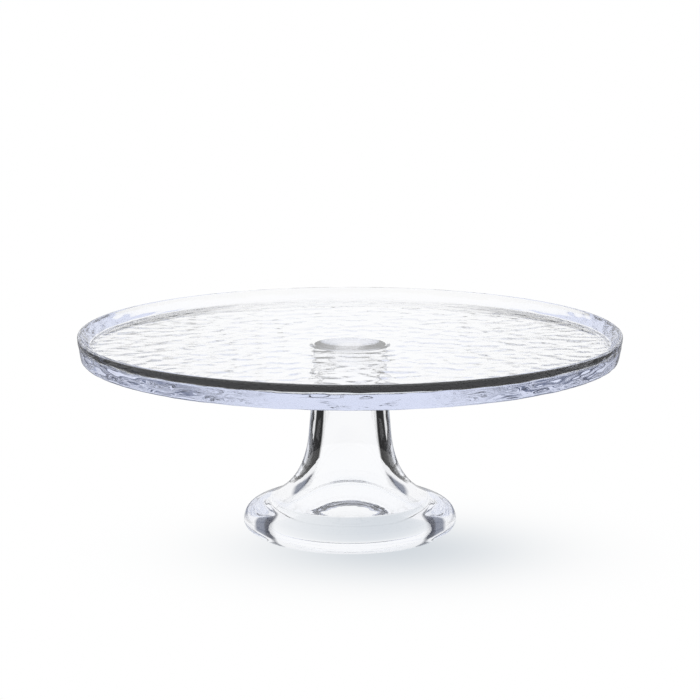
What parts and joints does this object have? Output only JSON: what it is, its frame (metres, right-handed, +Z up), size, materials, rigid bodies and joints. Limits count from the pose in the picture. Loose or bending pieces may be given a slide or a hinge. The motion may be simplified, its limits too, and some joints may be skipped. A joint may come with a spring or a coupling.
{
  "type": "cake stand",
  "caption": "Clear pressed-glass cake stand: a thick round plate with a low rim and rippled underside, bonded to a hollow bell-shaped pedestal.",
  "frame": {"origin": "centre of the foot's contact ring, on the surface that the stand rests on", "axes": "+Z up along the stand's axis; +X and +Y lie in the table, and the stand is the same all round"},
  "size_m": [0.3, 0.3, 0.1135],
  "materials": {
    "glass": "clear soda-lime, fire-polished, faint cool tint",
    "adhesive": "clear cured film"
  },
  "bodies": {
    "root": {"plate": "glass", "bond_film": "adhesive", "pedestal": "glass"}
  },
  "joints": []
}
